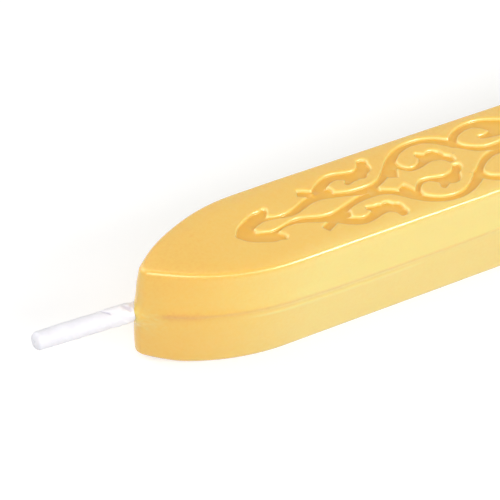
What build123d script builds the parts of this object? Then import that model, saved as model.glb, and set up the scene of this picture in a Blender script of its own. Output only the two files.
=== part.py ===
"""Sealing wax stick with a wick: a moulded bar with a pointed nose, sunk scrollwork and a cast-in wick.

Millimetres. +Z is up and +X runs along the stick, from the wick end to the square butt.
The origin is the middle of the flat underside.
"""
import os
from math import cos, radians, sin, tan

from build123d import *

# Wax bar, measured at the parting line of its two-part mould
body_length = 90.0
body_width = 11.0
body_height = 11.0
parting_height = 6.0      # above the underside
nose_length = 13.6        # from the nose's tip to the shoulder, where the sides turn straight
nose_radius = 1.15        # round of the tip, seen from above
butt_corner_radius = 1.2
upper_draft = 3.0         # degrees that the sides lean in above the parting line
lower_draft = 5.5         # degrees that they lean in below it
top_round = 0.5
bottom_round = 0.5

# Wick: a cotton cord in a coat of hard wax, cast in along the whole bar
wick_diameter = 1.6
cord_diameter = 1.15
wick_height = 5.5         # above the underside
wick_offset = 0.45        # it lay this far off the middle when the wax was poured
wick_exposed = 9.75       # stands out of the nose
wick_lean = 2.7           # degrees that the free end is bent upwards
wick_bend_radius = 25.0

# Scrollwork sunk in the top face
scroll_depth = 0.35
scroll_end_margin = 10.0  # plain wax from each end of the bar to the point of the spear
scroll_edge_margin = 0.3  # plain wax between the scrolls and the rounded edge
scroll_tolerance = 0.03   # a channel's edges run within this of its stations

# One quarter of the scrollwork, as drawn from the spear point to the middle of the stick.
# Each stroke is a line of stations: distance from the spear point, distance from the centre line,
# half of the channel's width.
scroll_strokes = {
    "spear_blade": [
        (0.4, 0.0, 0.4), (1.0, 0.46, 0.61), (1.7, 0.79, 0.7), (2.4, 1.1, 0.71), (3.1, 1.36, 0.72),
        (3.75, 1.66, 0.5), (4.25, 2.12, 0.12),
    ],
    "stem": [
        (3.25, 1.05, 0.42), (4.25, 0.75, 0.21), (5.25, 0.56, 0.24), (6.3, 0.57, 0.38),
        (7.3, 0.86, 0.43), (8.35, 1.25, 0.47), (9.7, 1.4, 0.5), (11.0, 1.06, 0.44),
        (12.05, 0.7, 0.37), (13.05, 0.46, 0.42), (14.1, 0.37, 0.45), (15.15, 0.47, 0.4),
        (16.3, 0.91, 0.4), (17.2, 1.59, 0.47), (18.15, 2.41, 0.57), (19.15, 3.23, 0.54),
        (20.35, 3.8, 0.46), (21.75, 4.02, 0.44), (23.05, 3.8, 0.48), (24.15, 3.25, 0.57),
        (25.15, 2.45, 0.57), (25.9, 1.64, 0.38), (26.85, 0.91, 0.4), (27.95, 0.45, 0.4),
        (29.1, 0.34, 0.44), (30.3, 0.48, 0.4), (31.8, 0.9, 0.36), (33.4, 1.2, 0.34),
        (35.0, 1.28, 0.34),
    ],
    "thorn": [(9.4, 1.9, 0.4), (8.65, 2.3, 0.32), (8.0, 2.62, 0.3)],
    "first_leaf": [
        (9.5, 1.75, 0.5), (10.15, 2.25, 0.55), (10.95, 2.72, 0.57), (11.95, 3.08, 0.5),
        (12.8, 2.98, 0.5), (13.5, 2.7, 0.6), (14.2, 2.45, 0.7), (14.85, 2.48, 0.77),
        (15.45, 2.8, 0.85), (15.75, 3.3, 0.72), (15.78, 3.75, 0.54), (15.78, 4.15, 0.31),
    ],
    "first_leaf_root": [(9.7, 1.75, 0.5), (10.4, 1.78, 0.46), (11.02, 1.72, 0.42)],
    "first_leaf_curl": [(13.9, 2.3, 0.45), (13.3, 1.9, 0.36), (12.98, 1.72, 0.27)],
    "stem_thorn": [(17.55, 1.6, 0.7), (17.68, 1.1, 0.52), (17.8, 0.7, 0.32), (17.87, 0.45, 0.14)],
    "second_leaf": [
        (18.15, 2.1, 0.47), (18.55, 1.48, 0.47), (19.15, 1.0, 0.4), (20.0, 0.88, 0.4),
        (20.8, 1.18, 0.52), (21.5, 1.48, 0.68), (22.3, 1.66, 0.77), (23.0, 1.6, 0.78),
        (23.55, 1.28, 0.72), (23.88, 0.82, 0.52), (24.0, 0.36, 0.34),
    ],
    "second_leaf_root": [(18.0, 2.2, 0.5), (18.5, 2.05, 0.5), (18.98, 1.98, 0.5)],
    "second_leaf_curl": [(21.65, 1.9, 0.5), (21.25, 2.35, 0.36), (21.1, 2.55, 0.3)],
    "third_leaf": [
        (25.35, 2.45, 0.47), (26.0, 3.0, 0.52), (27.0, 3.6, 0.47), (28.3, 3.83, 0.45),
        (29.55, 3.5, 0.7), (30.65, 2.8, 0.95), (31.85, 2.6, 0.8), (32.85, 3.0, 0.6),
        (33.35, 3.65, 0.45),
    ],
    "third_leaf_curl": [
        (30.4, 2.1, 0.75), (29.55, 1.95, 0.6), (28.75, 1.8, 0.4), (28.3, 1.7, 0.28),
    ],
}

nose_x = -body_length / 2
butt_x = body_length / 2
half_width = body_width / 2


def bar_outline():
    """Plan of the bar at the parting line: a pointed arch at the nose, round corners at the butt."""
    reach = nose_length - nose_radius
    flank_radius = (reach**2 + half_width**2 - nose_radius**2) / (2 * (half_width - nose_radius))
    shoulder = Vector(nose_x + nose_length, half_width)
    flank_centre = shoulder - Vector(0, flank_radius)
    tip_centre = Vector(nose_x + nose_radius, 0)
    flank_end = flank_centre + (tip_centre - flank_centre).normalized() * flank_radius
    side = Line((butt_x, half_width), shoulder)
    flank = TangentArc(shoulder, flank_end, tangent=(-1, 0))
    tip = ThreePointArc(flank_end, (nose_x, 0), (flank_end.X, -flank_end.Y))
    butt = Line((butt_x, half_width), (butt_x, -half_width))
    one_side = Curve() + [side, flank]
    outline = make_face([*one_side.edges(), *mirror(one_side, about=Plane.XZ).edges(), tip, butt])
    corners = outline.vertices().sort_by(Axis.X)[-2:]
    return fillet(corners, butt_corner_radius)


def wax_blank():
    """The moulded bar before its scrollwork: two drafted halves that meet at the parting line."""
    parting = Plane.XY.offset(parting_height)
    outline = parting * bar_outline()
    upper = extrude(outline, amount=body_height - parting_height)
    lower = extrude(outline, amount=parting_height, dir=(0, 0, -1))
    upper = draft(upper.faces().filter_by(Axis.Z, reverse=True), parting, upper_draft)
    lower = draft(lower.faces().filter_by(Axis.Z, reverse=True), parting, -lower_draft)
    blank = upper + lower
    blank = fillet(blank.faces().sort_by(Axis.Z)[-1].edges(), top_round)
    return fillet(blank.faces().sort_by(Axis.Z)[0].edges(), bottom_round)


def stroke_face(stations, round_end):
    """A channel's plan: two edges that follow the stations at the channel's half width."""
    spine = Spline(*[(along, across) for along, across, _ in stations])
    left = []
    right = []
    for along, across, half in stations:
        point = Vector(along, across)
        heading = spine.tangent_at(point)
        sideways = Vector(-heading.Y, heading.X) * half
        left.append(point + sideways)
        right.append(point - sideways)
    left_edge = Edge.make_spline_approx(left, tol=scroll_tolerance)
    right_edge = Edge.make_spline_approx(right, tol=scroll_tolerance)
    start_cap = end_round(right[0], left[0])
    end_cap = end_round(left[-1], right[-1]) if round_end else Line(left[-1], right[-1])
    return make_face([left_edge, right_edge, start_cap, end_cap])


def end_round(start, end):
    """Half a circle from start to end, bulging to the left of that direction."""
    middle = (start + end) / 2
    arm = end - middle
    return ThreePointArc(start, middle + Vector(-arm.Y, arm.X), end)


def top_flat_half_width():
    """From the centre line to where the rounded edge of the top face starts."""
    lean = radians(upper_draft)
    drawn_in = (body_height - parting_height) * tan(lean)
    edge = top_round * tan(radians(45) - lean / 2)
    return half_width - drawn_in - edge


def scrollwork():
    """Plan of all the channels: the drawn quarter, fitted to the top face and mirrored both ways."""
    drawn = [station for stations in scroll_strokes.values() for station in stations]
    drawn_length = max(along for along, _, _ in drawn)
    drawn_reach = max(across + half for _, across, half in drawn)
    half_length = body_length / 2 - scroll_end_margin
    lengthwise = half_length / drawn_length
    crosswise = (top_flat_half_width() - scroll_edge_margin) / drawn_reach
    faces = []
    for name, stations in scroll_strokes.items():
        fitted = [
            (along * lengthwise - half_length, across * crosswise, half * min(lengthwise, crosswise))
            for along, across, half in stations
        ]
        faces.append(stroke_face(fitted, round_end=name.endswith("curl")))
    quarter = Sketch() + faces
    end_half = quarter + mirror(quarter, about=Plane.XZ)
    return end_half + mirror(end_half, about=Plane.YZ)


def wick_path():
    """The wick's centre line: straight through the bar, then bent a little upwards outside the nose."""
    lean = radians(wick_lean)
    start = Vector(butt_x, wick_offset, wick_height)
    nose = Vector(nose_x, wick_offset, wick_height)
    bend_end = nose + Vector(-sin(lean), 0, 1 - cos(lean)) * wick_bend_radius
    straight = wick_exposed - wick_bend_radius * lean
    free_end = bend_end + Vector(-cos(lean), 0, sin(lean)) * straight
    return Line(start, nose) + TangentArc(nose, bend_end, tangent=(-1, 0, 0)) + Line(bend_end, free_end)


def wick_solid(diameter):
    """A round solid along the whole wick."""
    path = wick_path()
    section = Plane(origin=path @ 0, z_dir=path % 0) * Circle(diameter / 2)
    return sweep(section, path=path)


def wax_body():
    """The cast bar with its scrollwork and the passage that the wick fills."""
    floor = body_height - scroll_depth
    channels = extrude(Pos(0, 0, floor) * scrollwork(), amount=scroll_depth, dir=(0, 0, 1))
    return wax_blank() - channels - wick_solid(wick_diameter)


def wick_priming():
    """The coat of hard wax round the cotton cord."""
    return wick_solid(wick_diameter) - wick_solid(cord_diameter)


def wick_core():
    """The cotton cord."""
    return wick_solid(cord_diameter)


os.makedirs("parts", exist_ok=True)
nodes = {"wax_body": wax_body(), "wick_priming": wick_priming(), "wick_core": wick_core()}
for name, solid in nodes.items():
    export_step(solid, f"parts/{name}.step")
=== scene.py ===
from math import atan2, cos, pi, radians, sin, sqrt, tan

import bmesh
import bpy
import numpy as np
from mathutils import Matrix, Vector, noise
from mathutils.geometry import delaunay_2d_cdt


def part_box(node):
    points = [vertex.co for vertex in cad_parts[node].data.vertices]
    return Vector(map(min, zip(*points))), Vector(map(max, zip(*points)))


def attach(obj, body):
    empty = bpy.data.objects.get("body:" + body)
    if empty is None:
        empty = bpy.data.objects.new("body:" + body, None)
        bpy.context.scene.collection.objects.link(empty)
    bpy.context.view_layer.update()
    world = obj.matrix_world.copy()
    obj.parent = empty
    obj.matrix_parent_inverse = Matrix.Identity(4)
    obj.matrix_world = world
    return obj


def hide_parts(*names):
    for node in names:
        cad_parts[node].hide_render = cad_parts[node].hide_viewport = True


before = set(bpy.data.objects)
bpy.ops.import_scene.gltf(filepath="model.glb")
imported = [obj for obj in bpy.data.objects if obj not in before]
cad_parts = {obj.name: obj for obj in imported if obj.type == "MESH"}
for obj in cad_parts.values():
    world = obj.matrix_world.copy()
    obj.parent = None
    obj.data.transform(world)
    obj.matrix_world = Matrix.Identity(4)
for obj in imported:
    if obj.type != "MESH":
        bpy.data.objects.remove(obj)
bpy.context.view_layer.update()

# Sealing wax stick with a wick. Shapes are worked out in millimetres, in the CAD frame, and turned to
# metres when a mesh is made.
MM = 0.001

# Wax bar, as its solid is built
BUTT_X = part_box("wax_body")[1][0] / MM
NOSE_X = -BUTT_X
HALF_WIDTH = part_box("wax_body")[1][1] / MM
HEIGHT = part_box("wax_body")[1][2] / MM
PARTING_Z = 6.0
NOSE_LENGTH = 13.6
NOSE_RADIUS = 1.15
BUTT_CORNER_RADIUS = 1.2
UPPER_DRAFT = radians(3.0)
LOWER_DRAFT = radians(5.5)
TOP_ROUND = 0.5

# Moulded form of the bar that its solid leaves out
BOTTOM_ROUND = 0.75       # larger than the solid's
TIP_FULL_INSET = 0.26     # past this inset the tip's round shrinks half as fast as the outline
EDGE_ROLL = 0.06          # the top face falls this much towards its edge
FAR_EDGE_ROLL = 0.1       # and this much more towards the far one
EDGE_ROLL_WIDTH = 1.1
WAVINESS = 0.012          # of the top face
SIDE_WAVINESS = 0.01
PARTING_FLARE = 0.06      # the side stands out this far just above the parting line
PARTING_STEP = 0.11       # and steps in by this much across it
PARTING_FLASH = 0.06      # a thin flash stands out below it
NOSE_RISE = 0.45          # the underside rises this much at the nose's tip
NOSE_FALL = 0.18          # the far side of its top face falls this much
NOSE_FLAT = 0.14          # and the tip is drawn in by this much below the top
NOSE_ROUGHNESS = 0.035    # lumps where the wick leaves the nose
WICK_COLLAR = 0.3         # wax that climbs the wick there
SPECKS = [                # pimples of wax on the top face: place and radius
    (-10.5, 0.75, 0.14), (-10.6, -2.15, 0.13), (-25.45, 1.95, 0.2), (9.4, 3.1, 0.12),
]
SPECK_RISE = 0.5          # a pimple's height as a share of its radius

# Shares of pale mica in the wax's tone. Most of them are painted light: painted sheen, painted highlights
# and painted shade.
# The sides carry more of it than the top as painted sheen; less on their lower half is painted shade
LOWER_SIDE_PEARL_PAINTED_SHADE = 0.76
RIDGE_PAINTED_HIGHLIGHT = 0.15        # more of it just above the parting line: a painted highlight
SEAM_PAINTED_SHADE = 0.4       # less of it along that line: painted shade in its crease
SEAM_SHADE_EASING = 0.14        # the nose has less of that painted shade
SEAM_WIDTH = 0.24         # in millimetres
SEAM_WIDENING = 0.4       # added to that width on the nose
# a painted highlight along the flash below the parting line
FLASH_PAINTED_HIGHLIGHT = 0.8
TOP_PEARL = 0.14
TOP_PAINTED_SHEEN_TILT = 0.08     # more of it towards the near edge, less towards the far one: painted sheen
NEAR_EDGE_PAINTED_SHEEN = 0.35    # more of it along the top face's near edge: painted sheen
LIP_PAINTED_HIGHLIGHT = 0.65          # on the slopes of the channels' lips: a painted highlight
WICK_BLOOM = 0.5          # round the wick's mouth
TIP_PAINTED_HIGHLIGHT = 0.2           # on the nose's tip: a painted highlight

# Wick, as its solids are built
WICK_DIAMETER = 1.6
CORD_DIAMETER = 1.15
WICK_HEIGHT = 5.5
WICK_OFFSET = 0.45
WICK_EXPOSED = 9.75
WICK_LEAN = radians(2.7)
WICK_BEND_RADIUS = 25.0

# The wick's make, which its solids leave plain. Places along it are distances outside the nose, and angles
# go round it from its upper side, towards +Y.
WICK_ANGLES = np.linspace(0, 2 * pi, 56, endpoint=False)
WICK_PLIES = 3
WICK_LAY = 7.8            # length of one full turn of the plies
COAT_SWELL = 0.1          # the coat is thicker by this share outside the bar
COAT_SWELL_AT_NOSE = 0.6  # and by this share of that again next to the nose
COAT_TAPER = 0.05         # and thinner by this share towards its free end
COAT_LUMPS = 0.02
COAT_ROUGHNESS = 0.01
COAT_ROUGHNESS_AT_NOSE = 0.03  # added to it near the nose
COAT_GROOVE = 0.012       # depth of the grooves over the plies
COAT_GROOVE_AT_NOSE = 0.03  # added to it near the nose
NICK_PLACE = 2.65
NICK_ANGLE = radians(6)
NICK_DEPTH = 0.12
CHIP_ANGLE = radians(-12)
CHIP_DEPTH = 0.11
COAT_PITS = [             # place, angle in degrees and radius
    (0.7, -118, 0.1), (1.1, -100, 0.07), (3.4, -130, 0.12),
    (3.8, -122, 0.09), (2.2, -75, 0.08), (5.0, -60, 0.07),
]
CUT_ROUND = 0.34          # round of the coat's free end
CUT_FACE = [              # from that round into the bore: distance past the end, share of the bore's radius
    (0.04, 0.7), (0.05, 0.4), (0.04, 0.2), (-0.1, 0.16), (-0.2, 0.5), (-0.26, 1.0), (-WICK_EXPOSED, 1.0),
]
CORD_PLY_DEPTH = 0.12     # share of the cord's radius
CORD_CUT = 0.28           # its plies end this far inside the coat's end
CORD_END = [              # its last rings: distance past that end, share of its radius
    (-0.24, 0.45), (-0.14, 0.14), (-0.06, 0.12),
]

# Scrollwork: one quarter of it, drawn from the photograph a little closer than the solid's channels.
# A station is the distance from the spear point, the distance from the centre line and half the
# channel's width.
SCROLL_END_MARGIN = 10.0
SCROLL_SHIFT = -0.1       # the plate that moulds the scrollwork sat this far to one side
SCROLL_SKEW = 0.055       # and a little askew
SCROLL_STROKES = {
    "spear_blade": [
        (0.4, 0.0, 0.4), (1.0, 0.46, 0.61), (1.7, 0.79, 0.7), (2.4, 1.1, 0.71), (3.1, 1.36, 0.72),
        (3.75, 1.66, 0.52), (4.25, 2.12, 0.22),
    ],
    "spear_throat": [(1.0, 0.0, 0.5), (1.5, 0.0, 0.45), (2.0, 0.0, 0.34)],
    "stem": [
        (3.25, 1.05, 0.42), (4.25, 0.75, 0.21), (5.25, 0.56, 0.24), (6.3, 0.57, 0.38),
        (7.3, 0.86, 0.43), (8.35, 1.25, 0.47), (9.7, 1.4, 0.5), (11.0, 1.06, 0.44),
        (12.05, 0.7, 0.37), (13.05, 0.46, 0.42), (14.1, 0.37, 0.45), (15.15, 0.47, 0.4),
        (16.3, 0.91, 0.4), (17.2, 1.59, 0.47), (18.15, 2.41, 0.55), (19.15, 3.22, 0.48),
        (20.35, 3.78, 0.39), (21.75, 3.98, 0.37), (23.05, 3.77, 0.4), (24.15, 3.23, 0.5),
        (25.15, 2.45, 0.54), (25.9, 1.64, 0.38), (26.85, 0.91, 0.4), (27.95, 0.45, 0.4),
        (29.1, 0.34, 0.44), (30.3, 0.48, 0.4), (31.8, 0.9, 0.36), (33.4, 1.2, 0.34),
        (35.0, 1.28, 0.34),
    ],
    "thorn": [(9.4, 1.9, 0.46), (8.65, 2.3, 0.46), (8.0, 2.62, 0.44)],
    "first_leaf": [
        (9.5, 1.75, 0.5), (10.15, 2.25, 0.55), (10.95, 2.72, 0.57), (11.95, 3.08, 0.5),
        (12.8, 2.98, 0.5), (13.5, 2.7, 0.6), (14.2, 2.45, 0.7), (14.85, 2.46, 0.72),
        (15.4, 2.78, 0.72), (15.75, 3.25, 0.66), (15.8, 3.75, 0.54), (15.8, 4.15, 0.35),
    ],
    "first_leaf_root": [(9.7, 1.5, 0.5), (10.5, 1.58, 0.5), (11.3, 1.8, 0.42)],
    "first_leaf_curl": [(13.9, 2.3, 0.48), (13.4, 2.0, 0.38), (13.1, 1.85, 0.3)],
    "fork_web": [(14.6, 0.0, 0.3), (15.1, 0.0, 0.35), (15.5, 0.0, 0.35)],
    "stem_thorn": [(17.95, 1.7, 0.6), (17.7, 1.15, 0.56), (17.48, 0.64, 0.5)],
    "second_leaf": [
        (18.35, 2.2, 0.42), (18.72, 1.75, 0.33), (19.0, 1.42, 0.3), (19.42, 1.04, 0.3),
        (20.25, 0.93, 0.29), (20.95, 1.15, 0.4), (21.6, 1.5, 0.58), (22.3, 1.7, 0.72),
        (22.85, 1.6, 0.72), (23.3, 1.3, 0.58), (23.65, 0.95, 0.5), (23.9, 0.55, 0.46),
        (23.97, 0.15, 0.34),
    ],
    "second_leaf_root": [(18.0, 2.2, 0.5), (18.5, 2.1, 0.48), (18.95, 2.03, 0.42)],
    "second_leaf_curl": [(21.65, 1.9, 0.52), (21.4, 2.2, 0.42), (21.3, 2.32, 0.36)],
    "third_leaf": [
        (25.3, 2.3, 0.6), (25.75, 2.9, 0.45), (26.4, 3.4, 0.42), (27.1, 3.68, 0.42),
        (28.3, 3.83, 0.47), (29.6, 3.45, 0.75), (30.65, 2.8, 0.95), (31.85, 2.6, 0.8),
        (32.85, 3.0, 0.6), (33.35, 3.65, 0.45),
    ],
    "third_leaf_curl": [(30.4, 2.1, 0.75), (29.5, 1.93, 0.47), (28.8, 1.9, 0.31), (28.3, 2.0, 0.25)],
}
LOBE_HEIGHT = 0.2         # the leaves' outer edges are lobed
LOBE_INSIDE = 0.7         # share of that height that lies inside the drawn edge
LOBED_EDGES = {           # which side, from which station, and each lobe's length
    "first_leaf": (-1, 13.65, 0.85),
    "second_leaf": (1, 21.9, 1.7),
    "third_leaf": (-1, 30.6, 0.95),
}
JOIN_ROUND = 0.1          # round in the corners where channels meet

# Cross-section of a channel, from where its lip starts to round off
SCROLL_DEPTH = 0.3        # shallower than the solid's
LIP_OUTSIDE = 0.2         # the lip starts this far outside the drawn edge
LIP_RADIUS = 0.3          # and bends down with this radius
WALL_SLOPE = radians(70)  # to the wall's slope
FOOT_RADIUS = 0.06        # where the wall bends back to the floor
FLOOR_FADE = 0.25         # the floors' painted shade fades by this share towards their middle, so it is darkest by the walls
LIP_END = LIP_RADIUS * sin(WALL_SLOPE)
LIP_DROP = LIP_RADIUS * (1 - cos(WALL_SLOPE))
WALL_DROP = SCROLL_DEPTH - LIP_DROP - FOOT_RADIUS * (1 - cos(WALL_SLOPE))
WALL_END = LIP_END + WALL_DROP / tan(WALL_SLOPE)
FLOOR_START = WALL_END + FOOT_RADIUS * sin(WALL_SLOPE)

# Mesh steps in millimetres
RELIEF_GRID = 0.08
STROKE_SPACING = 0.08
CONTOUR_SPACING = 0.16
EDGE_SPACING = 0.45
TOP_SPACING = 0.9
UNDERSIDE_SPACING = 0.8
SIDE_ROWS = 0.25
PARTING_ROWS = 0.1        # closer rows, from this far above the parting line to this far below it
PARTING_ROWS_ABOVE = 1.4
PARTING_ROWS_BELOW = 1.9
WICK_ROWS = 0.07
CORD_ROWS = 0.2
LIP_APRON = 0.05          # one more line of points this far outside the lip
WELD_DISTANCE = 0.002

# Mesh points and rows
CORNER_POINTS = 12
FLANK_POINTS = 40
TIP_POINTS = 10
SPECK_POINTS = 10
SPECK_RINGS = (0.35, 0.7, 1.0)  # shares of a pimple's radius
STROKE_END_POINTS = 9
FEWEST_STROKE_POINTS = 8
ROUND_ROWS = 9
LIP_ROWS = 7
FOOT_ROWS = 4
FEWEST_LOOP_POINTS = 6
CORD_RINGS_IN_BAR = 60
SHARP_ANGLE = radians(55)
TINY = 1e-12              # keeps a division from failing


def ramp(x, start, end):
    """Goes from 0 at the start to 1 at the end, with level ends."""
    t = np.clip((x - start) / (end - start), 0.0, 1.0)
    return t * t * (3 - 2 * t)


def bump(x, centre, width):
    """A soft bump of height 1."""
    return np.exp(-((x - centre) / width)**2)


def noise_at(points, grain, seed):
    """Soft noise from -1 to 1 with grains of that size in millimetres."""
    shift = Vector((17.3, 5.1, 9.7)) * seed
    return np.array([noise.noise(Vector(p) / grain + shift) for p in points])


def lengths_along(points):
    """Distance from the first point to each one, along the line through them."""
    return np.concatenate([[0], np.cumsum(np.hypot(*np.diff(points, axis=0).T))])


# Plan of the bar

def arc(centre, radius, start, end, count):
    """Points and outward directions along an arc, its last point left out."""
    a = np.linspace(start, end, count, endpoint=False)
    out = np.column_stack([np.cos(a), np.sin(a)])
    return np.array(centre) + radius * out, out


def run(start, end, outward, spacing):
    """Points and outward directions along a straight run, its last point left out."""
    start, end = np.array(start), np.array(end)
    count = max(2, round(float(np.linalg.norm(end - start)) / spacing))
    t = np.linspace(0, 1, count, endpoint=False)[:, None]
    return start + (end - start) * t, np.tile(outward, (count, 1))


def bar_ring(inset):
    """The bar's outline, drawn in: points and outward directions, anticlockwise from the butt."""
    reach = NOSE_LENGTH - NOSE_RADIUS
    flank_radius = (reach**2 + HALF_WIDTH**2 - NOSE_RADIUS**2) / (2 * (HALF_WIDTH - NOSE_RADIUS))
    shoulder_x = NOSE_X + NOSE_LENGTH
    tip_radius = NOSE_RADIUS - min(inset, TIP_FULL_INSET) - 0.5 * max(inset - TIP_FULL_INSET, 0.0)
    reach = sqrt((flank_radius - inset - tip_radius)**2 - (flank_radius - HALF_WIDTH)**2)
    turn = atan2(reach, flank_radius - HALF_WIDTH)
    tip_centre = (shoulder_x - reach, 0.0)
    flank_centre = (shoulder_x, HALF_WIDTH - flank_radius)
    corner = (BUTT_X - BUTT_CORNER_RADIUS, HALF_WIDTH - BUTT_CORNER_RADIUS)
    side_y = HALF_WIDTH - inset
    butt_x = BUTT_X - inset
    half = [
        run((butt_x, 0.0), (butt_x, corner[1]), (1.0, 0.0), EDGE_SPACING),
        arc(corner, BUTT_CORNER_RADIUS - inset, 0, pi / 2, CORNER_POINTS),
        run((corner[0], side_y), (shoulder_x, side_y), (0.0, 1.0), EDGE_SPACING),
        arc(flank_centre, flank_radius - inset, pi / 2, pi / 2 + turn, FLANK_POINTS),
        arc(tip_centre, tip_radius, pi / 2 + turn, pi, TIP_POINTS),
    ]
    points = np.concatenate([p for p, _ in half])
    out = np.concatenate([o for _, o in half])
    tip = np.array([[tip_centre[0] - tip_radius, 0.0]])
    flip = np.array([1.0, -1.0])
    points = np.concatenate([points, tip, points[:0:-1] * flip])
    out = np.concatenate([out, [[-1.0, 0.0]], out[:0:-1] * flip])
    return points, out


# Scrollwork

def curve_through(stations, spacing):
    """A smooth curve through the stations, with their widths: a natural cubic over their distances."""
    s = np.array(stations, float)
    t = lengths_along(s[:, :2])
    h = np.diff(t)
    n = len(s)
    system = np.eye(n)
    target = np.zeros_like(s)
    for i in range(1, n - 1):
        system[i, i - 1:i + 2] = h[i - 1], 2 * (h[i - 1] + h[i]), h[i]
        target[i] = 6 * ((s[i + 1] - s[i]) / h[i] - (s[i] - s[i - 1]) / h[i - 1])
    bend = np.linalg.solve(system, target)
    q = np.linspace(0, t[-1], max(FEWEST_STROKE_POINTS, round(t[-1] / spacing)))
    i = np.clip(np.searchsorted(t, q, side="right") - 1, 0, n - 2)
    w = h[i][:, None]
    a, b = (t[i + 1] - q)[:, None], (q - t[i])[:, None]
    cubic = (bend[i] * a**3 + bend[i + 1] * b**3) / (6 * w)
    return cubic + (s[i] / w - bend[i] * w / 6) * a + (s[i + 1] / w - bend[i + 1] * w / 6) * b


def half_circle(centre, start):
    """Points half round a centre, clockwise from one point to the opposite one, both left out."""
    arm = np.array(start) - centre
    turns = -np.linspace(0, pi, STROKE_END_POINTS + 2)[1:-1]
    c, s = np.cos(turns), np.sin(turns)
    return centre + np.column_stack([c * arm[0] - s * arm[1], s * arm[0] + c * arm[1]])


def lobes(line, start, length):
    """How far a leaf's lobed edge stands out along its line, from where the lobes start."""
    s = lengths_along(line[:, :2])
    s -= s[np.argmax(line[:, 0] > start)]
    return np.where(s > 0, LOBE_HEIGHT * (np.abs(np.sin(pi * s / length)) - LOBE_INSIDE), 0.0)


def stroke_outline(stations, round_end, lobed=None):
    """A channel's closed outline: down its left edge, round its end and back up its right edge."""
    line = curve_through(stations, STROKE_SPACING)
    heading = np.gradient(line[:, :2], axis=0)
    heading /= np.linalg.norm(heading, axis=1)[:, None]
    side = np.column_stack([-heading[:, 1], heading[:, 0]])
    reach = {1: line[:, 2:].copy(), -1: line[:, 2:].copy()}
    if lobed:
        reach[lobed[0]] += lobes(line, *lobed[1:])[:, None]
    left, right = line[:, :2] + side * reach[1], line[:, :2] - side * reach[-1]
    pieces = [left, right[::-1], half_circle(line[0, :2], right[0])]
    if round_end:
        pieces.insert(1, half_circle(line[-1, :2], left[-1]))
    return np.concatenate(pieces)


def distance_to(outline, points):
    """Distance from points to a closed outline, less than zero inside it."""
    nearest = np.full(len(points), np.inf)
    inside = np.zeros(len(points), bool)
    for start, step in zip(outline, np.roll(outline, -1, axis=0) - outline):
        to = points - start
        t = np.clip(to @ step / max(step @ step, TINY), 0, 1)
        nearest = np.minimum(nearest, ((to - t[:, None] * step)**2).sum(1))
        crosses = (to[:, 1] < 0) != (to[:, 1] - step[1] < 0)
        rise = step[1] if step[1] else TINY
        inside ^= crosses & (to[:, 0] < to[:, 1] / rise * step[0])
    return np.where(inside, -1, 1) * np.sqrt(nearest)


def top_flat_half_width():
    """From the centre line to where the top's rounded edge starts."""
    drawn_in = (HEIGHT - PARTING_Z) * tan(UPPER_DRAFT)
    return HALF_WIDTH - drawn_in - TOP_ROUND * tan(pi / 4 - UPPER_DRAFT / 2)


def scroll_field():
    """Distance to the nearest channel over the top face: grid lines along and across, and the distances."""
    flat_half_width = top_flat_half_width()
    half_length = BUTT_X - SCROLL_END_MARGIN
    far_away, past_end, past_edge = 9.0, 1.0, 0.6
    xs = np.arange(-half_length - past_end, RELIEF_GRID / 2, RELIEF_GRID)
    ys = np.arange(-flat_half_width, flat_half_width + RELIEF_GRID / 2, RELIEF_GRID)
    field = np.full((len(xs), len(ys)), far_away)
    for name, stations in SCROLL_STROKES.items():
        placed = [(along - half_length, across, half) for along, across, half in stations]
        if placed[-1][0] > -RELIEF_GRID:
            placed.append((placed[-1][0] + past_end, *placed[-1][1:]))
        lobed = LOBED_EDGES.get(name)
        if lobed:
            lobed = (lobed[0], lobed[1] - half_length, lobed[2])
        outline = stroke_outline(placed, name.endswith("curl"), lobed)
        for flip in (1.0, -1.0):
            across = outline[:, 1] * flip
            shape = np.column_stack([outline[:, 0] + SCROLL_SKEW * across, across + SCROLL_SHIFT])
            low, high = shape.min(0) - past_edge, shape.max(0) + past_edge
            i = slice(*np.searchsorted(xs, (low[0], high[0])))
            j = slice(*np.searchsorted(ys, (low[1], high[1])))
            gx, gy = np.meshgrid(xs[i], ys[j], indexing="ij")
            near = distance_to(shape, np.column_stack([gx.ravel(), gy.ravel()])).reshape(gx.shape)
            blend = np.clip(JOIN_ROUND - np.abs(near - field[i, j]), 0, None)
            field[i, j] = np.minimum(near, field[i, j]) - blend**2 / (4 * JOIN_ROUND)
    xs = np.concatenate([xs, -xs[-2::-1]])
    return xs, ys, np.concatenate([field, field[-2::-1]])


def field_at(xs, ys, field, points):
    """The field's values at points between its grid lines."""
    i = np.clip((points[:, 0] - xs[0]) / RELIEF_GRID, 0, len(xs) - 1.001)
    j = np.clip((points[:, 1] - ys[0]) / RELIEF_GRID, 0, len(ys) - 1.001)
    i0, j0 = i.astype(int), j.astype(int)
    u, v = i - i0, j - j0
    return (field[i0, j0] * (1 - u) * (1 - v) + field[i0 + 1, j0] * u * (1 - v)
            + field[i0, j0 + 1] * (1 - u) * v + field[i0 + 1, j0 + 1] * u * v)


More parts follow.
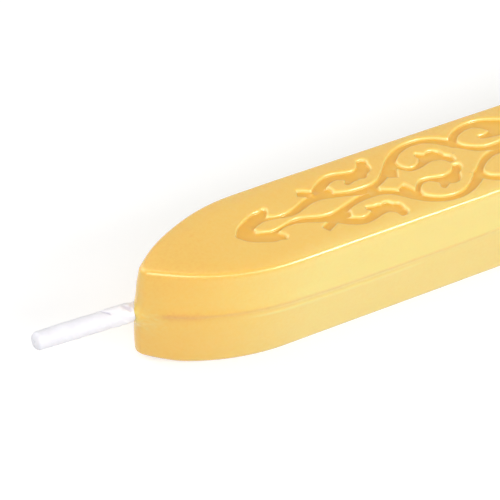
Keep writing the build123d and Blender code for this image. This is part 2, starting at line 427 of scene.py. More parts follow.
def contour(xs, ys, field, level):
    """The lines where the field has that level, as closed loops of evenly spaced points."""
    above = field > level
    ends = {}

    def crossing(i, j, along_x):
        key = (i, j, along_x)
        i2, j2 = (i + 1, j) if along_x else (i, j + 1)
        t = (level - field[i, j]) / (field[i2, j2] - field[i, j])
        ends.setdefault(key, [np.array([xs[i] + t * (xs[i2] - xs[i]), ys[j] + t * (ys[j2] - ys[j])])])
        return key

    mixed = above[:-1, :-1].astype(int) + above[1:, :-1] + above[:-1, 1:] + above[1:, 1:]
    for i, j in np.argwhere((mixed > 0) & (mixed < 4)):
        cut = []
        if above[i, j] != above[i + 1, j]:
            cut.append(crossing(i, j, True))
        if above[i + 1, j] != above[i + 1, j + 1]:
            cut.append(crossing(i + 1, j, False))
        if above[i, j + 1] != above[i + 1, j + 1]:
            cut.append(crossing(i, j + 1, True))
        if above[i, j] != above[i, j + 1]:
            cut.append(crossing(i, j, False))
        for a, b in zip(cut[::2], cut[1::2]):
            ends[a].append(b)
            ends[b].append(a)
    loops = []
    left = dict(ends)
    while left:
        key = next(iter(left))
        chain = []
        while key in left:
            chain.append(left[key][0])
            steps = left.pop(key)[1:]
            key = next((k for k in steps if k in left), None)
        closed = np.array([*chain, chain[0]])
        length = lengths_along(closed)
        count = round(length[-1] / CONTOUR_SPACING)
        if count >= FEWEST_LOOP_POINTS:
            at = np.linspace(0, length[-1], count, endpoint=False)
            even = np.column_stack([np.interp(at, length, closed[:, k]) for k in (0, 1)])
            loops.append((np.roll(even, 1, axis=0) + 2 * even + np.roll(even, -1, axis=0)) / 4)
    return loops


def channel_drop(inward):
    """How deep a channel is at a distance in from where its lip starts: lip, wall, foot and floor."""
    lip = LIP_RADIUS - np.sqrt(LIP_RADIUS**2 - np.clip(inward, 0, LIP_END)**2)
    wall = LIP_DROP + tan(WALL_SLOPE) * (inward - LIP_END)
    to_floor = np.clip(FLOOR_START - inward, 0, FLOOR_START - WALL_END)
    foot = SCROLL_DEPTH - FOOT_RADIUS + np.sqrt(FOOT_RADIUS**2 - to_floor**2)
    return np.where(inward < LIP_END, lip, np.where(inward < WALL_END, wall, foot))


# Wax bar

def side_profile():
    """The bar's side from the top flat to the underside: (inset from the parting outline, height) pairs."""
    rows = []
    z = HEIGHT - TOP_ROUND
    inset = (z - PARTING_Z) * tan(UPPER_DRAFT) + TOP_ROUND / cos(UPPER_DRAFT)
    for a in np.linspace(pi / 2, UPPER_DRAFT, ROUND_ROWS):
        rows.append((inset - TOP_ROUND * cos(a), z + TOP_ROUND * sin(a)))
    foot = BOTTOM_ROUND * (1 - sin(LOWER_DRAFT))
    fine_top, fine_foot = PARTING_Z + PARTING_ROWS_ABOVE, PARTING_Z - PARTING_ROWS_BELOW
    heights = [
        np.arange(rows[-1][1] - SIDE_ROWS, fine_top + PARTING_ROWS, -SIDE_ROWS),
        np.arange(fine_top, fine_foot, -PARTING_ROWS),
        np.arange(fine_foot - 2 * PARTING_ROWS, foot + SIDE_ROWS / 2, -SIDE_ROWS),
    ]
    for z in np.concatenate(heights):
        draft = UPPER_DRAFT if z > PARTING_Z else LOWER_DRAFT
        rows.append((abs(z - PARTING_Z) * tan(draft), z))
    z = BOTTOM_ROUND
    inset = (PARTING_Z - z) * tan(LOWER_DRAFT) + BOTTOM_ROUND / cos(LOWER_DRAFT)
    for a in np.linspace(-LOWER_DRAFT, -pi / 2, ROUND_ROWS):
        rows.append((inset - BOTTOM_ROUND * cos(a), z + BOTTOM_ROUND * sin(a)))
    return rows


def parting_lift(points):
    """How far the parting line wanders above its drawn height, along the bar's two sides."""
    x, y = points[:, 0], points[:, 1]
    near_side = 0.1 + 0.34 * bump(x, -35, 6.5) + 0.25 * bump(x, -4, 5)
    far_side = 0.05 + 0.3 * bump(x, 8, 14) - 0.12 * bump(x, -28, 9)
    share = ramp(y, -HALF_WIDTH, HALF_WIDTH)
    return near_side * (1 - share) + far_side * share


def flash_at_nose(x):
    """Where the flash below the parting line shows, on the nose's half of the bar."""
    return ramp(x, -37, -33) * ramp(x, -16, -21)


def parting_offset(above, points):
    """How far the side stands out near the parting line: a flare, a step in and a thin flash below it."""
    x = points[:, 0]
    strength = ramp(x, NOSE_X + 0.4, NOSE_X + 2.6) * (0.62 + 0.38 * ramp(x, -14, -24))
    flash_length = flash_at_nose(x) + 0.5 * ramp(x, 2, 8) * ramp(x, 30, 22)
    flare = PARTING_FLARE * ramp(above, 1.3, 0.2)
    step = -PARTING_STEP * ramp(above, 0.3, -0.32)
    flash = PARTING_FLASH * ramp(above, -0.6, -0.74) * flash_length
    fade = ramp(above, -1.8, -0.7)
    return (flare + step + flash) * fade * strength


def nose_lumps(points):
    """Small lumps round the wick's mouth, and a collar of wax that climbs the wick's near side."""
    x, y, z = points.T
    away = np.linalg.norm(points - np.array([NOSE_X + 0.5, -0.7, WICK_HEIGHT]), axis=1)
    share = bump(away, 0, 1.5)
    lumps = np.zeros(len(points))
    rough = share > 0.02
    lumps[rough] = noise_at(points[rough], 0.32, 3) + 0.5 * noise_at(points[rough], 0.15, 4)
    off_wick = np.hypot(y - WICK_OFFSET, z - WICK_HEIGHT) - WICK_DIAMETER / 2
    at_tip = ramp(x, NOSE_X + 1.2, NOSE_X + 0.4) * ramp(y, 0.3, -0.3)
    collar = WICK_COLLAR * bump(off_wick, 0, 0.4) * at_tip
    return NOSE_ROUGHNESS * share * lumps + collar


def keel_rise(points):
    """How far the underside rises towards the nose's tip."""
    x, z = points[:, 0], points[:, 2]
    return NOSE_RISE * ramp(x, NOSE_X + 4.5, NOSE_X + 0.3) * ramp(z, 2.2, 0)


def nose_fall(points):
    """How far the far side of the top face falls at the nose's tip."""
    x, y, z = points.T
    at_tip = ramp(x, NOSE_X + 2.6, NOSE_X + 0.4)
    return NOSE_FALL * at_tip * ramp(y, -1.5, 1.5) * ramp(z, HEIGHT - 2.5, HEIGHT)


def edge_roll(points):
    """How far the top face falls at its edge: more along the far side, most at the shoulder."""
    x, y = points[:, 0], points[:, 1]
    far = ramp(y, 1, 4) * ramp(x, NOSE_X + 2, NOSE_X + 6) * (1 - 0.4 * ramp(x, -25, -5))
    return EDGE_ROLL + FAR_EDGE_ROLL * far * (1 + 0.6 * bump(x, -32, 2.5))


def tip_flat(points):
    """How far the nose's tip is drawn in."""
    x, z = points[:, 0], points[:, 2]
    return NOSE_FLAT * ramp(x, NOSE_X + 2, NOSE_X + 0.4) * ramp(z, 9.2, 7)


def side_rings():
    """The bar's side as rings of points, from the edge of the top flat to the edge of the underside."""
    rings = []
    for inset, z in side_profile():
        plan, out = bar_ring(inset)
        above = z - PARTING_Z
        lift = parting_lift(plan) * ramp(abs(above), 3.6, 1.0)
        roll = edge_roll(plan) * ramp(z, HEIGHT - 2 * TOP_ROUND, HEIGHT - TOP_ROUND)
        points = np.column_stack([plan, z + lift - roll])
        wander = SIDE_WAVINESS * noise_at(points, 5.0, 1) + nose_lumps(points)
        points[:, :2] += out * (parting_offset(above, plan) + wander * ramp(z, 0, 0.5))[:, None]
        points[:, 2] += keel_rise(points) - nose_fall(points)
        points[:, 0] += tip_flat(points)
        rings.append(points)
    return rings


def fill(ring, loops, spacing):
    """Triangles inside a ring, along given loops, with points scattered on a grid between them."""
    points = [ring, *loops]
    edges = []
    start = 0
    for loop in points:
        n = len(loop)
        edges += [(start + i, start + (i + 1) % n) for i in range(n)]
        start += n
    lines = [np.arange(low, high, spacing) for low, high in zip(ring.min(0), ring.max(0))]
    gx, gy = np.meshgrid(*lines, indexing="ij")
    gy[::2] += spacing / 2
    grid = np.column_stack([gx.ravel(), gy.ravel()])
    keep = distance_to(ring, grid) < -spacing / 2
    points.append(grid[keep])
    flat = np.concatenate(points)
    inside_only, nearness = 1, 1e-6
    found = delaunay_2d_cdt([Vector(p) for p in flat], edges, [], inside_only, nearness)
    return np.array([tuple(v) for v in found[0]]), found[2]


def top_face(ring):
    """The top face inside its edge: points, triangles, and each point's share of painted shade on the
    channel floors and of painted highlight on the lips.
    """
    xs, ys, field = scroll_field()
    lip_steps = LIP_RADIUS * np.sin(WALL_SLOPE * np.linspace(0, 1, LIP_ROWS))
    foot_steps = FLOOR_START - FOOT_RADIUS * np.sin(WALL_SLOPE * np.linspace(1, 0, FOOT_ROWS))
    steps = [-LIP_APRON, *lip_steps, *foot_steps]
    loops = [loop for step in steps for loop in contour(xs, ys, field, LIP_OUTSIDE - step)]
    for x, y, radius in SPECKS:
        loops += [arc((x, y), radius * share, 0, 2 * pi, SPECK_POINTS)[0] for share in SPECK_RINGS]
    flat, triangles = fill(ring[:, :2], loops, TOP_SPACING)
    inward = LIP_OUTSIDE - field_at(xs, ys, field, flat)
    z = HEIGHT - channel_drop(inward)
    to_edge = -distance_to(ring[:, :2], flat)
    z -= edge_roll(flat) * np.clip(1 - to_edge / EDGE_ROLL_WIDTH, 0, 1)**2
    z -= nose_fall(np.column_stack([flat, z]))
    inner = ramp(to_edge, 0, EDGE_ROLL_WIDTH)
    z += WAVINESS * inner * noise_at(np.column_stack([flat, z]), 6.0, 2)
    for x, y, radius in SPECKS:
        away = np.hypot(flat[:, 0] - x, flat[:, 1] - y) / radius
        z += SPECK_RISE * radius * np.sqrt(np.clip(1 - away**2, 0, 1))
    # Painted shade on the channel floors, darkest by the walls
    painted_floor_shade = ramp(inward, LIP_END, FLOOR_START)
    painted_floor_shade *= 1 - FLOOR_FADE * ramp(inward, FLOOR_START + 0.1, FLOOR_START + 0.45)
    # A painted highlight on the lips' slopes
    painted_lip_highlight = ramp(inward, 0.12, 0.2) * ramp(inward, LIP_END + 0.02, LIP_END - 0.03)
    return np.column_stack([flat, z]), triangles, painted_floor_shade, painted_lip_highlight


def pearl_and_painted_light_share(points):
    """Share of pale mica in the wax's tone, most of it painted light: less towards the ends and on the
    lower half of the sides as painted sheen and shade, painted highlights above and below the parting line
    and on the tip, painted shade along that line, and a speckled bloom round the wick's mouth.
    """
    x, y, z = points.T
    above = z - PARTING_Z - parting_lift(points)
    on_nose = ramp(x, -34, -40)
    # Painted sheen: less mica towards the ends, so the bar is paler in its middle
    along = ramp(x, NOSE_X + 1, NOSE_X + 18) * ramp(x, BUTT_X, BUTT_X - 12)
    # Painted sheen on the sides, and painted shade on their lower half
    side = LOWER_SIDE_PEARL_PAINTED_SHADE + (1 - LOWER_SIDE_PEARL_PAINTED_SHADE) * ramp(above, -0.8, 0.8)
    # A painted highlight just above the parting line
    side += RIDGE_PAINTED_HIGHLIGHT * ramp(above, 0.1, 0.4) * ramp(above, 1.7, 0.5) * ramp(x, -34, -30)
    # Painted sheen on the top face towards its near edge, less towards its far edge
    top = TOP_PEARL + TOP_PAINTED_SHEEN_TILT * (ramp(y, -2, -4.5) * ramp(x, -30, -16) - ramp(y, 0, 3))
    top += NEAR_EDGE_PAINTED_SHEEN * ramp(y, -3.8, -4.8) * ramp(x, -37, -29)
    on_top = ramp(z, HEIGHT - 0.8, HEIGHT - 0.1)
    # Painted shade along the parting line's crease
    seam_painted_shade = bump(above, 0, SEAM_WIDTH + SEAM_WIDENING * on_nose) * ramp(x, NOSE_X + 0.8, NOSE_X + 2.3)
    seam_painted_shade *= SEAM_PAINTED_SHADE - SEAM_SHADE_EASING * on_nose
    # A painted highlight along the flash below the parting line
    flash = FLASH_PAINTED_HIGHLIGHT * bump(above, -0.85, 0.12) * flash_at_nose(x)
    by_wick = np.linalg.norm(points - np.array([NOSE_X + 0.8, -0.9, WICK_HEIGHT - 0.4]), axis=1)
    bloom = WICK_BLOOM * bump(by_wick, 0, 1.4)
    speckled = bloom > 0.02
    bloom[speckled] *= 0.6 + 1.3 * noise_at(points[speckled], 0.3, 8)
    # A painted highlight on the nose's tip
    tip = TIP_PAINTED_HIGHLIGHT * ramp(x, NOSE_X + 0.5, NOSE_X + 0.2) * (1 - on_top)
    return along * (side * (1 - on_top) + top * on_top) - seam_painted_shade + flash + bloom + tip


def wax_bar_mesh():
    """The whole bar, sides, top face and underside, and each point's share of painted shade on the channel
    floors and of painted highlight on the lips.
    """
    rings = side_rings()
    n = len(rings[0])
    sides = np.concatenate(rings)
    faces = []
    for r in range(len(rings) - 1):
        a, b = r * n, (r + 1) * n
        faces += [(a + i, b + i, b + (i + 1) % n, a + (i + 1) % n) for i in range(n)]
    top, top_triangles, painted_floor_shade, painted_lip_highlight = top_face(rings[0])
    flat, under_triangles = fill(rings[-1][:, :2], [], UNDERSIDE_SPACING)
    under = np.column_stack([flat, np.zeros(len(flat))])
    under[:, 2] = keel_rise(under)
    faces += [tuple(len(sides) + k for k in t) for t in top_triangles]
    faces += [tuple(len(sides) + len(top) + k for k in t[::-1]) for t in under_triangles]
    painted_floor_shades, painted_lip_highlights = [np.pad(share, (len(sides), len(under))) for share in (painted_floor_shade, painted_lip_highlight)]
    return np.concatenate([sides, top, under]), faces, painted_floor_shades, painted_lip_highlights


# Wick

def wick_point(along):
    """A point of the wick's centre line, by its distance outside the nose, and the upward direction."""
    bend = min(max(along, 0.0) / WICK_BEND_RADIUS, WICK_LEAN)
    straight = along - bend * WICK_BEND_RADIUS
    up = np.array([sin(bend), 0.0, cos(bend)])
    ahead = np.array([-cos(bend), 0.0, sin(bend)])
    turn = np.array([-sin(bend), 0.0, 1 - cos(bend)]) * WICK_BEND_RADIUS
    return np.array([NOSE_X, WICK_OFFSET, WICK_HEIGHT]) + turn + ahead * straight, up


def wick_skin(rings):
    """Points and faces of a skin round the wick, from (distance outside the nose, radii) rings."""
    verts = []
    for along, radii in rings:
        centre, up = wick_point(along)
        for radius, angle in zip(radii, WICK_ANGLES):
            verts.append(centre + radius * (cos(angle) * up + sin(angle) * np.array([0.0, 1.0, 0.0])))
    n = len(WICK_ANGLES)
    faces = []
    for k in range(len(rings) - 1):
        a, b = k * n, (k + 1) * n
        faces += [(a + i, a + (i + 1) % n, b + (i + 1) % n, b + i) for i in range(n)]
    return np.array(verts), faces


def angle_from(centre):
    """The wick's angles measured from one of them, between -pi and pi."""
    return (WICK_ANGLES - centre + pi) % (2 * pi) - pi


def coat_hollow(along):
    """Depth of the marks in the coat, round one ring: ply grooves, a nick, a chipped patch and pits."""
    ply = np.cos(WICK_PLIES * (WICK_ANGLES - 2 * pi * along / WICK_LAY))
    depth = (COAT_GROOVE + COAT_GROOVE_AT_NOSE * ramp(along, 5.5, 1.5)) * ramp(ply, 2 / 7, 1)
    past_nick = along - NICK_PLACE
    nick = angle_from(NICK_ANGLE + past_nick * 1.5)
    depth += NICK_DEPTH * bump(nick, 0, 0.13) * ramp(abs(past_nick), 0.42, 0.22)
    chip = np.abs(angle_from(CHIP_ANGLE - 0.25 * sin(5 * along)))
    depth += CHIP_DEPTH * ramp(chip, 0.5, 0.2) * ramp(along, 1.5, 0.6) * ramp(along, 0, 0.35)
    for place, angle, size in COAT_PITS:
        away = np.hypot(along - place, angle_from(radians(angle)) * WICK_DIAMETER / 2) / size
        depth += 0.4 * size * ramp(away, 1, 0)
    return depth


def coat_rings():
    """The coat's rings, from the butt along the outside and back through the bore, and their marks."""
    butt = NOSE_X - BUTT_X
    in_bar = [butt, -60.0, -30.0, -1.0]
    outside = np.concatenate([in_bar, np.arange(-0.6, WICK_EXPOSED, WICK_ROWS), [WICK_EXPOSED]])
    unit_ring = np.column_stack([np.cos(WICK_ANGLES), np.sin(WICK_ANGLES)])
    unmarked = np.zeros(len(WICK_ANGLES))
    rings = []
    hollows_and_painted_shade = []
    for along in outside:
        swell = COAT_SWELL * ramp(along, -0.3, 0.3) * (1 + COAT_SWELL_AT_NOSE * ramp(along, 3.5, 1))
        swell -= COAT_TAPER * ramp(along, 7, 10)
        radius = WICK_DIAMETER / 2 * (1 + swell)
        points = np.column_stack([np.full(len(unit_ring), along), unit_ring])
        bare = ramp(along, -0.3, 0)
        rough = COAT_ROUGHNESS + COAT_ROUGHNESS_AT_NOSE * ramp(along, 6.5, 2)
        lumps = COAT_LUMPS * noise_at(points, 1.3, 5) + rough * noise_at(points, 0.4, 6)
        hollow = coat_hollow(along) * bare
        to_end = max(0.0, along - (WICK_EXPOSED - CUT_ROUND)) / CUT_ROUND
        radii = (radius + lumps * bare - hollow) - CUT_ROUND * (1 - sqrt(1 - to_end**2))
        rings.append((along, radii))
        hollows_and_painted_shade.append(hollow)
    bore = np.full(len(WICK_ANGLES), CORD_DIAMETER / 2)
    back = [(WICK_EXPOSED + past, bore * share) for past, share in CUT_FACE] + [(butt, bore)]
    marks = [*hollows_and_painted_shade, *[unmarked] * len(back), hollows_and_painted_shade[0]]
    return [*rings, *back, rings[0]], np.concatenate(marks)


def cord_rings():
    """The cotton cord's rings: twisted plies that fill the coat, with a ragged cut end."""
    in_bar = np.linspace(NOSE_X - BUTT_X, -0.5, CORD_RINGS_IN_BAR)
    bare = np.arange(0.0, WICK_EXPOSED - 2 * CORD_ROWS, CORD_ROWS)
    stops = np.concatenate([in_bar, bare, [WICK_EXPOSED - CORD_CUT]])
    rings = []
    for along in stops:
        ply = np.abs(np.cos(WICK_PLIES / 2 * (WICK_ANGLES - 2 * pi * along / WICK_LAY)))
        rings.append((along, CORD_DIAMETER / 2 * (1 - CORD_PLY_DEPTH * (1 - ply))))
    plies = rings[-1][1]
    return rings + [(WICK_EXPOSED + past, plies * share) for past, share in CORD_END]


# Materials

def linear(hex_colour):
    """An sRGB hex colour as the linear values that a shader takes."""
    values = [int(hex_colour[i:i + 2], 16) / 255 for i in (1, 3, 5)]
    return (*[v / 12.92 if v <= 0.04045 else ((v + 0.055) / 1.055)**2.4 for v in values], 1.0)


def add_node(owner, kind, settings=None, inputs=None):
    """Adds a node with its settings; an input is a value, or the (node, output) that is linked to it."""
    node = owner.node_tree.nodes.new(kind)
    for name, value in (settings or {}).items():
        setattr(node, name, value)
    for name, value in (inputs or {}).items():
        if isinstance(value, tuple) and isinstance(value[0], bpy.types.Node):
            owner.node_tree.links.new(value[0].outputs[value[1]], node.inputs[name])
        else:
            node.inputs[name].default_value = value
    return node


def new_material(name):
    """An empty node material."""
    material = bpy.data.materials.new(name)
    material.use_nodes = True
    material.node_tree.nodes.clear()
    return material


def add_grain(material, size, detail):
    """Noise in the piece's own coordinates, with grains of that size in millimetres."""
    place = add_node(material, "ShaderNodeTexCoord")
    return add_node(material, "ShaderNodeTexNoise", inputs={
        "Vector": (place, "Object"), "Scale": 1 / (size * MM), "Detail": detail})


def add_maths(owner, operation, *values):
    """A node that works out a number."""
    return add_node(owner, "ShaderNodeMath", {"operation": operation}, dict(enumerate(values)))


def add_blend(material, share, first, second):
    """A node that goes from the first colour to the second as the share goes from 0 to 1."""
    return add_node(material, "ShaderNodeMix", {"data_type": "RGBA"}, {
        "Factor": share, "A": first, "B": second})


def add_bump(material, grain, strength, depth):
    """A fine bump from a grain, of that depth in millimetres."""
    return add_node(material, "ShaderNodeBump", inputs={
        "Height": (grain, "Fac"), "Strength": strength, "Distance": depth * MM})


def pearl_sealing_wax():
    """Sealing wax with gold mica, moulded: satin gloss under a thin shiny skin, with painted shade on the
    channel floors, and painted sheen, highlights and shade carried by the mica share.
    """
    m = new_material("pearl_sealing_wax_moulded")
    clouds = add_grain(m, 6, 3.0)
    mica = add_grain(m, 0.3, 1.0)
    drift = add_maths(m, "MULTIPLY_ADD", (clouds, "Fac"), 0.24, -0.12)
    flakes = add_maths(m, "MULTIPLY_ADD", (mica, "Fac"), 0.3, -0.15)
    uneven = add_maths(m, "ADD", (drift, 0), (flakes, 0))
    # The mica share carries painted sheen, painted highlights and painted shade
    pearl = add_node(m, "ShaderNodeAttribute", {"attribute_name": "pearl"})
    share = add_maths(m, "ADD", (pearl, "Fac"), (uneven, 0))
    # Deeper orange where the share falls below zero: random thin mica, and the painted shade along the
    # parting line
    thin_mica_and_seam_shade = add_node(m, "ShaderNodeMapRange", inputs={
        "Value": (share, 0), "From Min": -0.5, "From Max": 0.0})
    plain = add_blend(m, (thin_mica_and_seam_shade, "Result"), linear("#E59830"), linear("#F0BF4A"))
    # Paler where the mica share is higher: the painted sheen and painted highlights
    tone = add_blend(m, (share, 0), (plain, "Result"), linear("#F0D97B"))
    # Painted shade: the channel floors turn a deeper orange
    sunk = add_node(m, "ShaderNodeAttribute", {"attribute_name": "sunk"})
    hollow = add_blend(m, (sunk, "Fac"), (tone, "Result"), linear("#E9AC0E"))
    bump_node = add_bump(m, add_grain(m, 0.6, 2.0), 0.12, 0.03)
    wax = add_node(m, "ShaderNodeBsdfPrincipled", inputs={
        "Base Color": (hollow, "Result"), "Metallic": 0.06, "Roughness": 0.25, "IOR": 1.45,
        "Specular IOR Level": 1.0, "Coat Weight": 0.4, "Coat Roughness": 0.14, "Coat IOR": 1.45,
        "Subsurface Weight": 0.4, "Subsurface Radius": (1.0, 0.55, 0.2), "Subsurface Scale": 0.9 * MM,
        "Normal": (bump_node, "Normal")})
    add_node(m, "ShaderNodeOutputMaterial", inputs={"Surface": (wax, "BSDF")})
    return m


def paraffin_coat():
    """Hard paraffin that the wick was dipped in: milky white, dull gloss, with painted lilac-grey shade
    where it is hollow.
    """
    m = new_material("paraffin_wick_coat_dipped")
    clouds = add_grain(m, 1.1, 3.0)
    milk = add_blend(m, (clouds, "Fac"), linear("#F7F6FA"), linear("#E9E7EE"))
    # Painted shade: lilac grey in the coat's hollows
    hollow = add_node(m, "ShaderNodeAttribute", {"attribute_name": "hollow"})
    deep = add_node(m, "ShaderNodeMapRange", inputs={
        "Value": (hollow, "Fac"), "From Min": 0.03, "From Max": 0.14})
    tone = add_blend(m, (deep, "Result"), (milk, "Result"), linear("#CBC5D3"))
    bump_node = add_bump(m, add_grain(m, 0.25, 2.0), 0.25, 0.02)
    coat = add_node(m, "ShaderNodeBsdfPrincipled", inputs={
        "Base Color": (tone, "Result"), "Roughness": 0.45, "IOR": 1.43,
        "Subsurface Weight": 0.3, "Subsurface Radius": (1.0, 0.9, 0.85), "Subsurface Scale": 0.3 * MM,
        "Normal": (bump_node, "Normal")})
    add_node(m, "ShaderNodeOutputMaterial", inputs={"Surface": (coat, "BSDF")})
    return m


def twisted_cotton():
    """Cotton cord, twisted from plies and cut: matt off-white with fine fibre specks."""
    m = new_material("cotton_cord_twisted")
    fibres = add_grain(m, 0.12, 3.0)
    tone = add_blend(m, (fibres, "Fac"), linear("#F3EFE8"), linear("#D9D2C8"))
    bump_node = add_bump(m, fibres, 0.5, 0.05)
    cord = add_node(m, "ShaderNodeBsdfPrincipled", inputs={
        "Base Color": (tone, "Result"), "Roughness": 0.85, "IOR": 1.5, "Sheen Weight": 0.3,
        "Normal": (bump_node, "Normal")})
    add_node(m, "ShaderNodeOutputMaterial", inputs={"Surface": (cord, "BSDF")})
    return m


# Pieces

def add_mesh(name, points, faces, material):
    """A smooth mesh object from points in millimetres."""
    mesh = bpy.data.meshes.new(name)
    mesh.from_pydata((np.asarray(points) * MM).tolist(), [], faces)
    mesh.validate()
    mesh.shade_smooth()
    mesh.materials.append(material)
    piece = bpy.data.objects.new(name, mesh)
    bpy.context.collection.objects.link(piece)
    return piece


def weld(piece):
    """Joins points that lie on each other, so that the skin is closed."""
    skin = bmesh.new()
    skin.from_mesh(piece.data)
    bmesh.ops.remove_doubles(skin, verts=skin.verts, dist=WELD_DISTANCE * MM)
    bmesh.ops.recalc_face_normals(skin, faces=skin.faces)
    skin.to_mesh(piece.data)
    skin.free()


def set_values(piece, name, values):
    """Gives each point of a mesh a number that its material reads."""
    layer = piece.data.attributes.new(name, "FLOAT", "POINT")
    layer.data.foreach_set("value", np.asarray(values, np.float32))


def cut_wick_passage(piece):
    """Cuts the straight passage that the wick fills."""
    n = len(WICK_ANGLES)
    past_ends = 2.0
    reach = BUTT_X + past_ends
    rings = [(along, np.full(n, WICK_DIAMETER / 2)) for along in (-BUTT_X - reach, 0.0)]
    verts, faces = wick_skin(rings)
    verts[n:, 0] = -reach
    faces += [tuple(range(n)), tuple(range(2 * n - 1, n - 1, -1))]
    cutter = add_mesh("passage_cutter", verts, faces, piece.data.materials[0])
    weld(cutter)
    cut = piece.modifiers.new("passage", "BOOLEAN")
    cut.operation = "DIFFERENCE"
    cut.solver = "EXACT"
    cut.object = cutter
    evaluated = piece.evaluated_get(bpy.context.evaluated_depsgraph_get())
    mesh = bpy.data.meshes.new_from_object(evaluated)
    piece.modifiers.clear()
    piece.data = mesh
    bpy.data.objects.remove(cutter)
    mesh.set_sharp_from_angle(angle=SHARP_ANGLE)


def put_in_frame(piece, node):
    """Hangs a piece on the root body and hides the CAD node that it stands for."""
    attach(piece, "root")
    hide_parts(node)


def add_wax_bar():
    """The moulded bar in place of its solid."""
    verts, faces, painted_floor_shades, painted_lip_highlights = wax_bar_mesh()
    bar = add_mesh("wax_bar", verts, faces, pearl_sealing_wax())
    # Painted shade on the channel floors
    set_values(bar, "sunk", painted_floor_shades)
    # The mica share, which carries painted sheen, highlights and shade, plus a painted highlight on the
    # lips' slopes
    set_values(bar, "pearl", pearl_and_painted_light_share(verts) + LIP_PAINTED_HIGHLIGHT * painted_lip_highlights)
    weld(bar)
    cut_wick_passage(bar)
    put_in_frame(bar, "wax_body")


def add_wick():
    """The wick's coat and cord in place of their solids."""
    rings, hollows_and_painted_shade = coat_rings()
    coat = add_mesh("wick_coat", *wick_skin(rings), paraffin_coat())
    # Painted shade in the coat's hollows
    set_values(coat, "hollow", hollows_and_painted_shade)
    weld(coat)
    put_in_frame(coat, "wick_priming")
    verts, faces = wick_skin(cord_rings())
    n = len(WICK_ANGLES)
    faces += [tuple(range(n - 1, -1, -1)), tuple(range(len(verts) - n, len(verts)))]
    cord = add_mesh("wick_cord", verts, faces, twisted_cotton())
    weld(cord)
    put_in_frame(cord, "wick_core")


# Floor, light and camera

FLOOR_SIZE = 3.0          # metres
FLOOR_DROP = 0.03         # millimetres below the underside, so that the two faces don't coincide
PAPER_LIFT = 0.54         # brings lit paper up to white for the eye
ROOM_LIGHT = 0.2          # strength of the room's own light on the stick
SOFT_LIGHTS = {           # direction from the stick, distance, width and height in metres, watts, aim
    "front_right_soft_box": ((0.467, -0.68, 0.56), 0.3, 0.085, 0.076, 0.35, (-0.022, 0.0, 0.008)),
    "front_strip": ((0.073, -0.835, 0.545), 0.4, 0.31, 0.05, 0.26, (-0.03, 0.0, 0.008)),
    "front_left_soft_box": ((-0.6, -0.6, 0.53), 0.4, 0.3, 0.26, 0.82, (-0.03, 0.0, 0.006)),
    "back_left_soft_box": ((-0.64, 0.6, 0.48), 0.4, 0.3, 0.26, 0.36, (-0.022, 0.0, 0.008)),
    "back_fill": ((-0.3, 0.9, 0.3), 0.6, 0.4, 0.4, 0.5, (-0.01, 0.0, 0.006)),
    "overhead_soft_box": ((-0.2, 0.5, 1.0), 0.8, 0.7, 0.7, 1.4, (0.0, 0.0, 0.005)),
}
CAMERA_TURN = radians(38.34)      # from +Y towards +X, the way the camera looks
CAMERA_DROP = radians(41.13)      # below the horizon
CAMERA_ROLL = radians(-8.42)
CAMERA_AIM = (-30.98, 2.74, 5.5)  # millimetres
CAMERA_DISTANCE = 254.3           # millimetres
CAMERA_LENS = 201.9               # millimetres
CAMERA_SENSOR = 36.0              # millimetres


def add_seen(owner):
    """A node that gives 1 to rays that the eye follows, straight, mirrored or through, and 0 to others."""
    path = add_node(owner, "ShaderNodeLightPath")
    sharp = add_maths(owner, "ADD", (path, "Is Camera Ray"), (path, "Is Glossy Ray"))
    return add_maths(owner, "ADD", (sharp, 0), (path, "Is Transmission Ray"))


def white_studio_paper():
    """Matt white studio paper: the camera sees it white, and it still takes the object's shadow."""
    m = new_material("white_studio_paper")
    paper = add_node(m, "ShaderNodeBsdfDiffuse", inputs={"Color": linear("#C8C8C8")})
    lift = add_maths(m, "MULTIPLY", (add_seen(m), 0), PAPER_LIFT)
    glow = add_node(m, "ShaderNodeEmission", inputs={"Color": (1, 1, 1, 1), "Strength": (lift, 0)})
    both = add_node(m, "ShaderNodeAddShader", inputs={0: (paper, "BSDF"), 1: (glow, "Emission")})
    add_node(m, "ShaderNodeOutputMaterial", inputs={"Surface": (both, "Shader")})
    return m


def add_floor():
    """The sheet of studio paper that the stick lies on."""
    mesh = bpy.data.meshes.new("floor")
    half = FLOOR_SIZE / 2
    mesh.from_pydata([(-half, -half, 0), (half, -half, 0), (half, half, 0), (-half, half, 0)],
                     [], [(0, 1, 2, 3)])
    mesh.materials.append(white_studio_paper())
    floor = bpy.data.objects.new("floor", mesh)
    bpy.context.collection.objects.link(floor)
    floor.location.z = -FLOOR_DROP * MM


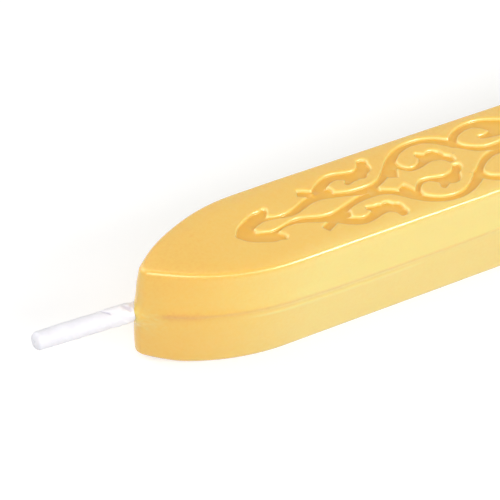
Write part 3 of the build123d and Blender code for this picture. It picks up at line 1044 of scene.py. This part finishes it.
def add_soft_light(name, towards, distance, width, height, watts, aim):
    """A soft box that stands in a direction from the stick and faces it."""
    lamp = bpy.data.lights.new(name, "AREA")
    lamp.shape = "RECTANGLE"
    lamp.size = width
    lamp.size_y = height
    lamp.energy = watts
    holder = bpy.data.objects.new(name, lamp)
    back = Vector(towards).normalized()
    holder.location = Vector(aim) + back * distance
    holder.rotation_euler = back.to_track_quat("Z", "Y").to_euler()
    bpy.context.collection.objects.link(holder)


def add_white_room():
    """White all round: full white to the eye and in reflections, and a low even light on the stick."""
    room = bpy.data.worlds.new("white_room")
    room.use_nodes = True
    room.node_tree.nodes.clear()
    level = add_node(room, "ShaderNodeMapRange", inputs={
        "Value": (add_seen(room), 0), "To Min": ROOM_LIGHT, "To Max": 1.0})
    glow = add_node(room, "ShaderNodeBackground", inputs={
        "Color": (1, 1, 1, 1), "Strength": (level, "Result")})
    add_node(room, "ShaderNodeOutputWorld", inputs={"Surface": (glow, "Background")})
    bpy.context.scene.world = room


def add_camera():
    """The photograph's view of the wick end."""
    level = cos(CAMERA_DROP)
    look = Vector((sin(CAMERA_TURN) * level, cos(CAMERA_TURN) * level, -sin(CAMERA_DROP)))
    right = Vector((cos(CAMERA_TURN), -sin(CAMERA_TURN), 0.0))
    down = look.cross(right)
    tilted_right = right * cos(CAMERA_ROLL) + down * sin(CAMERA_ROLL)
    tilted_down = down * cos(CAMERA_ROLL) - right * sin(CAMERA_ROLL)
    lens = bpy.data.cameras.new("camera")
    lens.sensor_width = CAMERA_SENSOR
    lens.lens = CAMERA_LENS
    lens.clip_start = 0.01
    camera = bpy.data.objects.new("camera", lens)
    turned = Matrix((tilted_right, -tilted_down, -look)).transposed().to_4x4()
    camera.matrix_world = Matrix.Translation((Vector(CAMERA_AIM) - look * CAMERA_DISTANCE) * MM) @ turned
    bpy.context.collection.objects.link(camera)
    bpy.context.scene.camera = camera


add_wax_bar()
add_wick()
add_floor()
for light, placing in SOFT_LIGHTS.items():
    add_soft_light(light, *placing)
add_white_room()
add_camera()
bpy.context.scene.view_settings.view_transform = "Standard"
